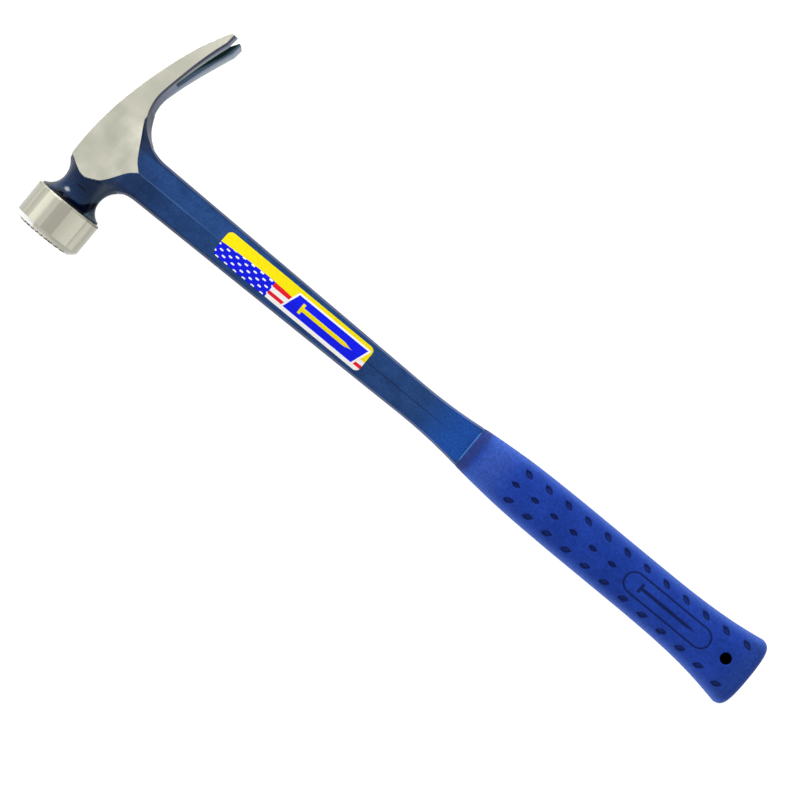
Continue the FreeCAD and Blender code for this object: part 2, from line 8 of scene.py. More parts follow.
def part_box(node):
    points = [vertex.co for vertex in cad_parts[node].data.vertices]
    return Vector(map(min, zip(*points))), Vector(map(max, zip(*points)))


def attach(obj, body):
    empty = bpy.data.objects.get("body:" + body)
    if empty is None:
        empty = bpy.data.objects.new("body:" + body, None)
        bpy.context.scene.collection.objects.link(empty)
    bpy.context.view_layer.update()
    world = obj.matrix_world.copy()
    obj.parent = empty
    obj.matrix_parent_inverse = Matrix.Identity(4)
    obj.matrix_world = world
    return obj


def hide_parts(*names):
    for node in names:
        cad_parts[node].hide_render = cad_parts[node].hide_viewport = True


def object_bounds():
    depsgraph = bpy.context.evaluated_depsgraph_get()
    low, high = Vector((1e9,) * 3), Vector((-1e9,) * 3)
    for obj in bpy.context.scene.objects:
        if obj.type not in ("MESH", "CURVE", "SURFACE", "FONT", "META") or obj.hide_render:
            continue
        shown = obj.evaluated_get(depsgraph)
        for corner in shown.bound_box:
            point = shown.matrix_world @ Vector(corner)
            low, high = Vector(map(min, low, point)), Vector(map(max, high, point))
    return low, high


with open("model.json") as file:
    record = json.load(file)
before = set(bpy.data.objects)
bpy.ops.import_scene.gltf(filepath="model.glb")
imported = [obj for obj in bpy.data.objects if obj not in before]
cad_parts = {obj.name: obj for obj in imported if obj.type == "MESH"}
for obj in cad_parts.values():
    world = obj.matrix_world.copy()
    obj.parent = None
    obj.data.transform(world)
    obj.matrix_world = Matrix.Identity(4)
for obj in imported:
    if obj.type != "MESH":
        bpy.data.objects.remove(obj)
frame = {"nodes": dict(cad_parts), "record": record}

CAD_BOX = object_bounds()
MM = 0.001

# ---------------------------------------------------------------- places, from the frame
LOW = Vector(CAD_BOX[0])
GRIP_LOW, GRIP_HIGH = (Vector(corner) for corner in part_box("moulded_grip"))
LABEL_LOW = Vector(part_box("printed_shank_label")[0])
MOUNTS = {mount["name"]: Vector(mount["pos_m"]) for mount in frame["record"]["mounts"]}
HANDLE_Y = MOUNTS["hang_hole"].y             # the handle's centre line
MID_Z = MOUNTS["hang_hole"].z                # the forging's parting plane
POLL_TOP_X = LOW.x

# Head and shank, in mm: x from the poll's top, y from the handle's centre line, z off the parting plane.
FACE_Y = (LOW.y - HANDLE_Y) / MM
POLL_BACK_Y = FACE_Y + 20.25
POLL_AXIS_X = 17.25
FACE_RADIUS = 13.0
GRIP_START_X = (GRIP_LOW.x - POLL_TOP_X) / MM
SLOT_ROOT_Y = 43.3                           # the nail slot between the claws
SLOT_TIPS_Y = 78.3
SLOT_HALF_WIDTHS = (3.8, 6.6)                # at its root and at the tips, on the underside
SLOT_UNDERSIDE_X = (20.6, 30.3)              # where the underside is, at the same two ends
UNDERSIDE_Y = (20.0, 80.0)                   # the claws' underside, and its half width at either end
UNDERSIDE_HALF_WIDTHS = (7.6, 17.0)

# ---------------------------------------------------------------- the view
VIEW_ROLL = math.radians(39.585)             # the handle runs down to the right
VIEW_FIELD = 0.3783                          # metres across the picture at the hammer's mid-plane
VIEW_DISTANCE = 0.75
VIEW_AIM = Vector((POLL_TOP_X + 0.1966, HANDLE_Y - 0.0039, MID_Z))
SENSOR_MM = 36.0

# ---------------------------------------------------------------- the light
WALL_STRENGTH = 0.9
CEILING_STRENGTH = 0.72
WALL_TOP = 0.3                               # how far up the walls end; 1 is straight overhead
FLOOR_GLOW = 0.95                            # the floor is a light table, so shadows hardly show
FLOOR_HALF = 3.0
FLOOR_DROP = 0.0005                          # how far it lies under the hammer
LIT_PLACE = Vector((POLL_TOP_X + POLL_AXIS_X * MM, HANDLE_Y - 0.025, MID_Z))
# Square softboxes aimed at the head: place, size and watts.
SOFTBOXES = {
    "key_light": ((-0.92, 0.8, 0.5), 0.36, 5.0),
    "neck_light": ((-0.4, 0.21, 0.155), 0.13, 1.1),
    "side_light": ((-1.2, -0.045, 0.66), 0.85, 0.9),
}

# ---------------------------------------------------------------- colours
# A pair is the two tones that a cloudy pattern goes between.
CHEEK_STEEL = (0.585, 0.585, 0.49), (0.645, 0.635, 0.535)
POLL_STEEL = (0.56, 0.55, 0.45), (0.62, 0.61, 0.51)
# Painted dark reflection on the claws' underside.
UNDERSIDE_REFLECTION = (0.15, 0.175, 0.25), (0.2, 0.225, 0.31)
# Painted highlight and reflection on the striking face's rim.
RIM_MIDDLE, RIM_HANDLE_SIDE = (0.5, 0.49, 0.41), (0.36, 0.36, 0.3)
RIM_TOP_HIGHLIGHT, RIM_TOP_EDGE = (0.8, 0.81, 0.77), (0.36, 0.4, 0.38)
# Painted reflection, lighter along the nail slot.
SLOT_REFLECTION_STEEL = (0.24, 0.28, 0.27)
# Painted reflection: the far claw's underside is lighter.
FAR_CLAW_REFLECTION = (0.32, 0.38, 0.42)
UNDERSIDE_EDGE_DARK = (0.025, 0.028, 0.07)
# Painted shade in the nail slot.
SLOT_SHADE, SLOT_STEEL = (0.004, 0.012, 0.012), (0.06, 0.095, 0.14)
# Painted shade between the teeth of the milled face.
GROOVE_SHADE = (0.03, 0.03, 0.025)
# Painted reflection bands on the poll: where each starts, in mm from its top, and how bright it is.
POLL_REFLECTION_BANDS = [
    (0.0, 0.64),
    (5.5, 0.8),
    (9.8, 1.16),
    (14.3, 1.1),
    (17.2, 0.87),
    (23.5, 1.14),
    (30.7, 0.72),
    (31.4, 0.86),
    (33.2, 0.62),
]
POLL_REFLECTION_BLUR = 0.4

SHANK_ENAMEL = (0.009, 0.043, 0.155), (0.017, 0.062, 0.215)
GRIP_END_ENAMEL = (0.008, 0.073, 0.36)
NECK_ENAMEL, NECK_TOP_ENAMEL = (0.005, 0.03, 0.1), (0.004, 0.026, 0.095)
# Painted reflections on the neck's rims.
NECK_HANDLE_SIDE_REFLECTION, NECK_FLARE_REFLECTION = (0.06, 0.1, 0.15), (0.08, 0.095, 0.1)
# Painted shade and dark reflection on the neck, and a dark dash.
NECK_SHADE_AND_DASH = (0.0005, 0.002, 0.012)
# Painted reflection, lighter grey towards the claws.
ARCH_REFLECTION_ENAMEL = (0.08, 0.12, 0.18)
# Painted highlight along the ridge and painted shade along the crease.
RIDGE_HIGHLIGHT, CREASE_SHADE = (0.12, 0.25, 0.5), (0.003, 0.01, 0.05)

VINYL = (0.005, 0.034, 0.28), (0.01, 0.048, 0.35)
# Painted light on the grip's front flare.
VINYL_FRONT_LIGHT, VINYL_BUTT = (0.035, 0.085, 0.4), (0.013, 0.045, 0.24)
# Painted shade behind the mouth and a painted highlight on the lip.
VINYL_MOUTH_SHADE, VINYL_LIP_HIGHLIGHT = (0.018, 0.034, 0.17), (0.06, 0.2, 0.5)
# Painted sheen on the sides, and painted shade in the pressed-in places.
VINYL_SHEEN, VINYL_RECESS_SHADE = (0.04, 0.115, 0.5), (0.001, 0.007, 0.065)
# Painted black shade inside the hang hole.
HOLE_SHADE = (0.001, 0.001, 0.001)

LABEL_YELLOW, LABEL_BLUE = (0.8, 0.66, 0.005), (0.006, 0.012, 0.72)
LABEL_RED, LABEL_WHITE = (0.72, 0.01, 0.025), (0.84, 0.82, 0.8)

# ---------------------------------------------------------------- the label, mm
LABEL_FIELD_END = 32.0
LABEL_RED_STRIPES = ((-4.9, -3.2), (-0.9, 20.0))
LABEL_WAVE_LENGTH = 110
LABEL_WAVE_HEIGHT = 1.3
LABEL_WAVE_MIDDLE = 0.2
BADGE_MIDDLE = -0.4
BADGE_LEAN = 0.35
BADGE = (43.0, 84.5, 4.6)                    # start, end and half height
BADGE_RIM = (42.0, 85.5, 5.5)
NAIL_HEAD_X, NAIL_SHANK_END, NAIL_POINT = 48.5, 74.0, 80.0
NAIL_HEAD_LENGTH, NAIL_HEAD_HALF = 1.6, 2.7
PRINT_BLUR = 0.05

# ---------------------------------------------------------------- the grip, mm
GRIP_LENGTH = (GRIP_HIGH.x - GRIP_LOW.x) / MM
# Stations: x from the grip's mouth, half width, half thickness, distance off centre.
GRIP_STATIONS = [
    (0.0, 11.1, 8.0, 0.0),
    (6.5, 11.75, 8.9, 0.0),
    (16.5, 12.6, 10.2, 0.0),
    (26.5, 13.3, 11.2, 0.0),
    (38.5, 13.75, 11.8, 0.0),
    (54.5, 14.0, 12.0, 0.0),
    (84.5, 14.05, 12.0, 0.0),
    (109.5, 14.1, 12.0, 0.0),
    (126.5, 14.4, 12.0, -0.1),
    (139.5, 15.1, 12.1, -0.2),
    (150.5, 16.2, 12.4, -0.35),
    (160.5, 17.7, 12.8, -0.5),
    (GRIP_LENGTH, 19.45, 13.25, -0.6),
]
GRIP_ROUNDNESS = 2.5                         # 2 is an ellipse; more is boxier
GRIP_STEP = 0.33                             # size of the mesh's cells
GRIP_AROUND = 264
RING_SAMPLES = 2400
LIP_RADIUS = 0.5
LIP_RINGS = 5
BUTT_RADIUS = 4.5
BUTT_TURN = 0.96                             # share of a quarter turn, from the sides to the crowned end
BUTT_RINGS = 20
BUTT_CROWN = 0.5
END_SCALES = np.linspace(0.93, 0.08, 13)     # the crowned end's rings, as shares of its outline
# The tang's socket: x and half width of its rings, from the bottom to the mouth.
SOCKET_RINGS = [(142.5, 6.5), (71.25, 7.25), (0.6, 8.0), (0.0, 8.0)]
SOCKET_HALF_THICKNESS = 3.6
SOCKET_ROUNDNESS = 5.0
FLAT_HEIGHTS = (2.0, 4.0)                    # no pressing in below the first, full depth above the second
HOLE_X = (MOUNTS["hang_hole"].x - GRIP_LOW.x) / MM
HOLE_RADIUS = 2.7
HOLE_SOFTENING = 0.6
HOLE_RIM_DEPTH = 0.45
HOLE_SIDES = 96
CUTTER_LENGTH = 60.0

DIMPLE_OUTER_SIZE = (5.7, 3.0)               # length and width
DIMPLE_MIDDLE_SIZE = (5.0, 2.6)
DIMPLE_DEPTH = 1.1
DIMPLE_OUTER_START = 30.0
DIMPLE_OUTER_PITCH = 11.72
DIMPLE_OUTER_COUNT = 12
DIMPLE_OUTER_SPREAD = (0.58, 0.67)           # of the half width, at the first dimple and from the ninth on
DIMPLE_WIDENING_COUNT = 8
DIMPLE_MIDDLE_START = 28.0
DIMPLE_MIDDLE_PITCH = 11.6
DIMPLE_MIDDLE_COUNT = 6
DIMPLE_TILT = math.radians(21)
DIMPLE_WALL = (-0.15, 0.45)                  # how far inside its edge a dimple's wall starts and ends
DIMPLE_FLOOR = (0.3, 1.4)                    # and its dished floor
DIMPLE_WALL_SHARE = 0.7
MOULD_LINE_HEIGHT = 0.12
MOULD_LINE_WIDTH = 0.5
MOULD_LINE_START = (1.0, 3.0)                # it rises over this stretch from the mouth
MOULD_LINE_END = (2.0, 4.0)                  # and sinks over this stretch before the butt
EMBLEM_DEPTH = 0.35                          # a plain nail in a frame, pressed into the grip
EMBLEM_X = 119.5
EMBLEM_HALF_LENGTH = 25.0
EMBLEM_HALF_HEIGHT = 5.2
EMBLEM_STROKE = 0.8
EMBLEM_SHADE = 0.9
EMBLEM_EDGE = (-0.2, 0.35)                   # how far inside its outline the emblem's wall starts and ends
EMBLEM_LINE_EDGE = (-0.2, 0.25)              # off the drawn line's edge: full depth at one, none at the other
EMBLEM_NAIL_HEAD, EMBLEM_NAIL_SHANK_END, EMBLEM_NAIL_POINT = -16.0, 11.0, 17.0
EMBLEM_NAIL_HALF = 0.9
EMBLEM_NAIL_HEAD_HALF = (0.8, 2.6)           # half length and half height
SHEEN_HEIGHTS = (5.0, 10.5)                   # full painted sheen below the first, none above the second
SHEEN_SHARE = 0.75


# ---------------------------------------------------------------- shader helpers
class Shader:
    """A material's nodes, with short calls for the ones used here."""

    def __init__(self, name):
        self.material = bpy.data.materials.new(name)
        self.material.use_nodes = True
        self.tree = self.material.node_tree
        self.surface = self.tree.nodes["Principled BSDF"]
        self.place = self.tree.nodes.new("ShaderNodeTexCoord").outputs["Object"]
        self.facing = self.split(self.tree.nodes.new("ShaderNodeNewGeometry").outputs["Normal"])

    def join(self, value, socket):
        if isinstance(value, bpy.types.NodeSocket):
            self.tree.links.new(value, socket)
        else:
            socket.default_value = value

    def math(self, operation, *values):
        node = self.tree.nodes.new("ShaderNodeMath")
        node.operation = operation
        for value, socket in zip(values, node.inputs):
            self.join(value, socket)
        return node.outputs[0]

    def add(self, first, second):
        return self.math("ADD", first, second)

    def subtract(self, first, second):
        return self.math("SUBTRACT", first, second)

    def size(self, value):
        return self.math("ABSOLUTE", value)

    def times(self, first, *others):
        """The product of two or more values: for masks, where all of them are on."""
        product = first
        for other in others:
            product = self.math("MULTIPLY", product, other)
        return product

    def distance(self, first, second):
        """How far a point with those two coordinates is from the origin."""
        return self.math("SQRT", self.add(self.times(first, first), self.times(second, second)))

    def ramp(self, value, start, end, low=0.0, high=1.0):
        """Goes smoothly from low to high as value goes from start to end."""
        node = self.tree.nodes.new("ShaderNodeMapRange")
        node.interpolation_type = "SMOOTHSTEP"
        for entry, socket in zip((value, start, end, low, high), node.inputs):
            self.join(entry, socket)
        return node.outputs[0]

    def split(self, vector):
        node = self.tree.nodes.new("ShaderNodeSeparateXYZ")
        self.join(vector, node.inputs[0])
        return node.outputs

    def place_from(self, start_x):
        """The place in mm: along the handle from start_x, off its centre line and off the parting plane."""
        place = self.split(self.place)
        starts = (("X", start_x), ("Y", HANDLE_Y), ("Z", MID_Z))
        return [self.math("DIVIDE", self.subtract(place[axis], start), MM) for axis, start in starts]

    def noise(self, scale, detail=3.0, roughness=0.5):
        """Noise with that many features per metre, the same way or along each axis."""
        mapping = self.tree.nodes.new("ShaderNodeMapping")
        self.join(self.place, mapping.inputs["Vector"])
        mapping.inputs["Scale"].default_value = scale if isinstance(scale, tuple) else (scale, scale, scale)
        node = self.tree.nodes.new("ShaderNodeTexNoise")
        self.join(mapping.outputs[0], node.inputs["Vector"])
        node.inputs["Scale"].default_value = 1.0
        node.inputs["Detail"].default_value = detail
        node.inputs["Roughness"].default_value = roughness
        return node.outputs["Fac"]

    def mix(self, share, first, second):
        """A colour that share of the way from first to second."""
        node = self.tree.nodes.new("ShaderNodeMix")
        node.data_type = "RGBA"
        self.join(share, node.inputs["Factor"])
        for value, socket in ((first, node.inputs[6]), (second, node.inputs[7])):
            self.join(value if isinstance(value, bpy.types.NodeSocket) else (*value, 1), socket)
        return node.outputs[2]

    def blend(self, share, first, second):
        """A number that share of the way from first to second."""
        node = self.tree.nodes.new("ShaderNodeMix")
        node.data_type = "FLOAT"
        for entry, socket in zip((share, first, second), (node.inputs[0], node.inputs[2], node.inputs[3])):
            self.join(entry, socket)
        return node.outputs[0]

    def dimmed(self, colour, factor):
        """The colour times a factor."""
        node = self.tree.nodes.new("ShaderNodeVectorMath")
        node.operation = "SCALE"
        self.join(colour if isinstance(colour, bpy.types.NodeSocket) else tuple(colour), node.inputs[0])
        self.join(factor, node.inputs["Scale"])
        return node.outputs[0]

    def rounded_edges(self, radius):
        node = self.tree.nodes.new("ShaderNodeBevel")
        node.samples = 6
        node.inputs["Radius"].default_value = radius
        return node.outputs[0]

    def bump(self, height, depth, normal=None):
        node = self.tree.nodes.new("ShaderNodeBump")
        node.inputs["Distance"].default_value = depth
        self.join(height, node.inputs["Height"])
        if normal is not None:
            self.join(normal, node.inputs["Normal"])
        return node.outputs[0]

    def attribute(self, name):
        node = self.tree.nodes.new("ShaderNodeAttribute")
        node.attribute_name = name
        return node.outputs["Fac"]

    def finish(self, **inputs):
        for name, value in inputs.items():
            self.join(value, self.surface.inputs[name.replace("_", " ").title().replace("Ior", "IOR")])
        return self.material


# ---------------------------------------------------------------- steel
def steel_material():
    """Ground and polished steel and a milled face, with painted reflections on the claws' undersides, the
    poll and its rim, and painted shade in the nail slot and between the teeth.
    """
    shader = Shader("polished_steel")
    x, y, z = shader.place_from(POLL_TOP_X)
    cloud = shader.noise(70.0, 3)
    grinding = shader.noise((2600.0, 90.0, 900.0), 4, 0.6)
    turning = shader.noise((60.0, 2400.0, 60.0), 3)
    on_poll = shader.ramp(y, POLL_BACK_Y, POLL_BACK_Y - 0.3)
    back_edge = shader.times(on_poll, shader.ramp(y, POLL_BACK_Y - 1.4, POLL_BACK_Y - 0.8))

    colour = shader.mix(shader.ramp(cloud, 0.35, 0.7), *CHEEK_STEEL)
    # Painted light: the steel gets lighter towards the claws.
    colour = shader.dimmed(colour, shader.ramp(y, 0.0, 40.0, 1.0, 1.16))
    # Painted shade: surfaces facing the top of the head are darker.
    colour = shader.dimmed(colour, shader.ramp(shader.facing["X"], -0.3, -0.7, 1.0, 0.7))
    colour = shader.mix(on_poll, colour, poll_colour(shader, x))
    colour = shader.mix(rim_mask(shader), colour, rim_colour(shader, x, y))
    # Painted shade on the poll's back rounding, darkened to dim its highlight.
    colour = shader.dimmed(colour, shader.blend(back_edge, 1.0, 0.84))
    # Painted dark reflection over the claws' underside.
    under_claws = under_claws_mask(shader, y)
    colour = shader.mix(under_claws, colour, underside_colour(shader, y, z, cloud))
    in_slot = slot_mask(shader, y, z)
    # Painted shade in the nail slot.
    colour = shader.mix(in_slot, colour, slot_colour(shader, x, y))
    between_teeth = groove_mask(shader, x, y, z)
    # Painted shade between the teeth of the milled face.
    colour = shader.mix(between_teeth, colour, GROOVE_SHADE)

    lines = shader.mix(on_poll, grinding, turning)
    cloudy = shader.ramp(cloud, 0.3, 0.7, 0.34, 0.44)
    roughness = shader.add(cloudy, shader.ramp(lines, 0.3, 0.7, -0.05, 0.05))
    roughness = shader.times(roughness, shader.subtract(1.0, shader.times(on_poll, 0.4)))
    roughness = shader.blend(back_edge, roughness, 0.8)
    normal = shader.bump(lines, 0.012 * MM, shader.rounded_edges(0.35 * MM))
    # The painted dark reflection under the claws and the painted shade in the slot and between the teeth are
    # kept dull, not shiny like the bare steel round them.
    scale = shader.math("MAXIMUM", under_claws, shader.math("MAXIMUM", in_slot, between_teeth))
    return shader.finish(base_color=colour, metallic=shader.blend(scale, 1.0, 0.0), roughness=roughness,
                         specular_ior_level=shader.blend(scale, 0.5, 0.02), normal=normal)


def poll_colour(shader, x):
    """Turned steel in faint lengthwise streaks, under painted reflection bands."""
    streaks = shader.noise((160.0, 5.0, 40.0), 2)
    turned = shader.mix(shader.ramp(streaks, 0.35, 0.65), *POLL_STEEL)
    tone = POLL_REFLECTION_BANDS[0][1]
    for start, reflection_tone in POLL_REFLECTION_BANDS[1:]:
        reached = shader.ramp(x, start - POLL_REFLECTION_BLUR, start + POLL_REFLECTION_BLUR)
        tone = shader.blend(reached, tone, reflection_tone)
    return shader.dimmed(turned, tone)


def rim_mask(shader):
    """The ground slope round the striking face."""
    forward = shader.times(shader.facing["Y"], -1.0)
    return shader.times(shader.ramp(forward, 0.35, 0.5), shader.ramp(forward, 0.98, 0.93))


def rim_colour(shader, x, y):
    """Painted highlight, bright towards the top of the head, and a duller painted reflection round the rest.
    """
    towards_top = shader.ramp(x, POLL_AXIS_X - 2.8, POLL_AXIS_X - 3.8)
    towards_handle = shader.ramp(x, POLL_AXIS_X + 2, POLL_AXIS_X + 12)
    rest = shader.mix(towards_handle, RIM_MIDDLE, RIM_HANDLE_SIDE)
    top_highlight = shader.mix(shader.ramp(y, FACE_Y + 1.9, FACE_Y + 1.1), RIM_TOP_HIGHLIGHT, RIM_TOP_EDGE)
    return shader.mix(towards_top, rest, top_highlight)


def under_claws_mask(shader, y):
    """Where the head faces the handle, beyond the shank."""
    return shader.times(shader.ramp(shader.facing["X"], 0.45, 0.75), shader.ramp(y, 8.0, 14.0))


def underside_colour(shader, y, z, cloud):
    """Painted dark blue-grey reflection on the steel, with painted shade towards the claws' root, darker
    along its outer edge, and painted lighter reflections along the nail slot and on the far claw.
    """
    reflected = shader.mix(shader.ramp(cloud, 0.3, 0.7), *UNDERSIDE_REFLECTION)
    # Painted shade, darker towards the claws' root by the shank.
    reflected = shader.dimmed(reflected, shader.ramp(y, 26.0, 44.0, 0.6, 1.0))

    # Painted reflection, lighter along the nail slot.
    slot_edge = slot_half_width(shader, y)
    from_slot = shader.subtract(z, slot_edge)
    slot_reflection_width = shader.ramp(y, 47.0, 68.0, 5.2, 1.6)
    past_slot_reflection = shader.subtract(from_slot, slot_reflection_width)
    slot_reflection = shader.times(shader.ramp(from_slot, -1.0, 0.0), shader.ramp(past_slot_reflection, 0.7, -0.7),
                          shader.ramp(y, 32.0, 42.0))
    colour = shader.mix(slot_reflection, reflected, SLOT_REFLECTION_STEEL)

    # Darker along the underside's outer edge.
    outer_edge = shader.ramp(y, *UNDERSIDE_Y, *UNDERSIDE_HALF_WIDTHS)
    from_edge = shader.subtract(outer_edge, z)
    colour = shader.mix(shader.ramp(from_edge, 6.5, 3.6), colour, UNDERSIDE_EDGE_DARK)
    # Painted reflection: the far claw's underside is lighter.
    on_far_claw = shader.subtract(shader.times(z, -1.0), slot_edge)
    return shader.mix(shader.ramp(on_far_claw, 1.0, 7.0), colour, FAR_CLAW_REFLECTION)


def slot_half_width(shader, y):
    """Half the nail slot's width at the underside, from its root to the tips."""
    return shader.ramp(y, SLOT_ROOT_Y, SLOT_TIPS_Y, *SLOT_HALF_WIDTHS)


def slot_mask(shader, y, z):
    """The walls of the nail slot."""
    from_wall = shader.subtract(shader.size(z), slot_half_width(shader, y))
    near_middle = shader.ramp(from_wall, 0.6, 0.3)
    in_claws = shader.ramp(y, SLOT_ROOT_Y - 0.6, SLOT_ROOT_Y - 0.3)
    along_handle = shader.ramp(shader.size(shader.facing["X"]), 0.7, 0.5)
    return shader.times(near_middle, in_claws, along_handle)


def slot_colour(shader, x, y):
    """Painted shade, black deep in the slot, grading to bare blue-grey steel at its lower edge."""
    underside = shader.ramp(y, SLOT_ROOT_Y, SLOT_TIPS_Y, *SLOT_UNDERSIDE_X)
    depth = shader.subtract(underside, x)
    return shader.mix(shader.ramp(depth, 1.7, 0.2), SLOT_SHADE, SLOT_STEEL)


def groove_mask(shader, x, y, z):
    """The grooves between the teeth of the milled face."""
    radius = shader.distance(shader.subtract(x, POLL_AXIS_X), z)
    inside_rim = shader.ramp(radius, FACE_RADIUS + 1.4, FACE_RADIUS + 1.1)
    below_tops = shader.ramp(y, FACE_Y + 0.2, FACE_Y + 0.6)
    near_face = shader.ramp(y, FACE_Y + 2.4, FACE_Y + 1.8)
    return shader.times(inside_rim, below_tops, near_face)


# ---------------------------------------------------------------- enamel
def enamel_material():
    """Deep blue baked enamel with a fine orange peel, darker round the neck and brighter by the grip, with
    painted reflections, highlights and shade.
    """
    shader = Shader("blue_enamel")
    x, y, _ = shader.place_from(POLL_TOP_X)
    off_centre = shader.size(y)
    cloud = shader.noise(90.0, 4, 0.6)
    speckle = shader.noise(1500.0, 3, 0.7)
    on_neck = shader.ramp(y, -9.0, -17.0)

    colour = shader.mix(shader.ramp(cloud, 0.3, 0.7), *SHANK_ENAMEL)
    colour = shader.mix(shader.ramp(x, GRIP_START_X - 34, GRIP_START_X - 6), colour, GRIP_END_ENAMEL)
    colour = shader.mix(on_neck, colour, neck_colour(shader, x, y))
    # Painted shade and dark reflection on the neck, and a dark dash.
    colour = shader.mix(neck_shade_and_dash_mask(shader, x, y), colour, NECK_SHADE_AND_DASH)
    # Painted reflection, lighter grey towards the claws.
    colour = shader.mix(shader.ramp(y, 14.0, 25.0), colour, ARCH_REFLECTION_ENAMEL)
    towards_head = shader.times(shader.ramp(x, 62.0, 34.0), shader.ramp(y, -14.0, -8.0))
    colour = shader.dimmed(colour, shader.blend(towards_head, 0.87, 0.66))
    # Painted shade: darker from the shank's edges outwards.
    colour = shader.dimmed(colour, shader.ramp(off_centre, 8.6, 10.0, 1.0, 0.6))
    colour = shader.dimmed(colour, shader.ramp(speckle, 0.3, 0.7, 0.72, 1.28))

    on_line = shader.ramp(off_centre, 0.5, 0.1)
    # Painted highlight along the ridge.
    ridge_highlight = shader.times(on_line, shader.ramp(x, 95.0, 60.0, 0.0, 0.22))
    colour = shader.mix(ridge_highlight, colour, RIDGE_HIGHLIGHT)
    # Painted shade along the crease.
    crease = shader.times(on_line, shader.ramp(x, 160.0, 175.0, 0.0, 0.65), shader.ramp(x, 228.0, 205.0))
    colour = shader.mix(crease, colour, CREASE_SHADE)

    peel = shader.add(shader.noise(900.0, 2), shader.times(cloud, 2.0))
    normal = shader.bump(peel, 0.02 * MM, shader.rounded_edges(0.5 * MM))
    on_face = shader.ramp(shader.size(shader.facing["Z"]), 0.35, 0.6)
    gloss = shader.add(shader.times(on_face, shader.add(0.13, shader.times(on_neck, 0.03))), 0.01)
    return shader.finish(base_color=colour, roughness=shader.ramp(speckle, 0.3, 0.7, 0.14, 0.24),
                         specular_ior_level=gloss, normal=normal)


def neck_colour(shader, x, y):
    """Dark blue, with painted reflections: paler on the side of the handle and greyish where it flares to the
    poll.
    """
    neck = shader.mix(shader.ramp(x, 20.0, 9.0), NECK_ENAMEL, NECK_TOP_ENAMEL)
    neck = shader.mix(shader.ramp(x, 23.5, 27.5), neck, NECK_HANDLE_SIDE_REFLECTION)
    flare = shader.times(shader.ramp(x, 9.5, 6.0), shader.ramp(y, -22.0, -27.0))
    return shader.mix(flare, neck, NECK_FLARE_REFLECTION)


def neck_shade_and_dash_mask(shader, x, y):
    """Painted shade, nearly black, against the poll, a painted dark reflection up one side of the neck, and a
    short dark dash across it.
    """
    against_poll = shader.times(shader.ramp(y, -28.4, -29.4), shader.ramp(x, 9.5, 11.5))
    past_side = shader.subtract(x, shader.add(43.0, shader.times(y, 0.7)))
    up_side = shader.times(shader.ramp(past_side, 0.0, 1.2), shader.ramp(y, -21.5, -24.0))
    painted_dark = shader.times(shader.math("MAXIMUM", against_poll, up_side), shader.ramp(x, 28.4, 27.6))
    off_neck_dash = shader.size(shader.add(y, 22.2))
    neck_dash = shader.times(shader.ramp(x, 16.4, 16.9), shader.ramp(x, 21.4, 20.9), shader.ramp(off_neck_dash, 0.5, 0.2))
    return shader.math("MAXIMUM", painted_dark, neck_dash)


# ---------------------------------------------------------------- grip
def grip_material():
    """Moulded blue vinyl with a fine matte grain, painted shade where it is pressed in, painted black shade
    inside the hole, and painted light, sheen and highlight.
    """
    shader = Shader("blue_grip")
    x, y, _ = shader.place_from(GRIP_LOW.x)
    cloud = shader.noise(60.0, 4, 0.6)
    mottle = shader.noise(700.0, 4, 0.7)
    grain = shader.noise(4200.0, 3, 0.6)
    from_hole = shader.distance(y, shader.subtract(x, HOLE_X))
    outside_hole = shader.ramp(from_hole, HOLE_RADIUS + 0.05, HOLE_RADIUS + 0.25)

    colour = shader.mix(shader.ramp(cloud, 0.3, 0.7), *VINYL)
    # Painted light on the flare behind the mouth.
    front = shader.times(shader.ramp(x, 5.0, 10.0), shader.ramp(x, 28.0, 14.0), 0.75)
    colour = shader.mix(front, colour, VINYL_FRONT_LIGHT)
    colour = shader.mix(shader.ramp(x, HOLE_X - 2.0, HOLE_X + 10.0, 0.0, 0.7), colour, VINYL_BUTT)
    # Painted sheen on the curve down to the sides.
    colour = shader.mix(shader.attribute("wear_and_sheen"), colour, VINYL_SHEEN)
    # Painted shade just behind the lip.
    colour = shader.mix(shader.ramp(x, 7.5, 3.5, 0.0, 0.85), colour, VINYL_MOUTH_SHADE)
    # Painted highlight on the lip.
    colour = shader.mix(shader.ramp(x, 0.9, 0.2, 0.0, 0.8), colour, VINYL_LIP_HIGHLIGHT)
    colour = shader.dimmed(colour, shader.ramp(mottle, 0.3, 0.7, 0.8, 1.2))
    # Painted shade in the dimples and the emblem.
    colour = shader.mix(shader.attribute("pressed"), colour, VINYL_RECESS_SHADE)
    # Painted black shade inside the hang hole.
    colour = shader.mix(outside_hole, HOLE_SHADE, colour)
    height = shader.add(grain, shader.times(mottle, 1.5))
    return shader.finish(base_color=colour, roughness=shader.ramp(grain, 0.3, 0.7, 0.5, 0.68),
                         specular_ior_level=shader.times(outside_hole, 0.12),
                         normal=shader.bump(height, 0.04 * MM))


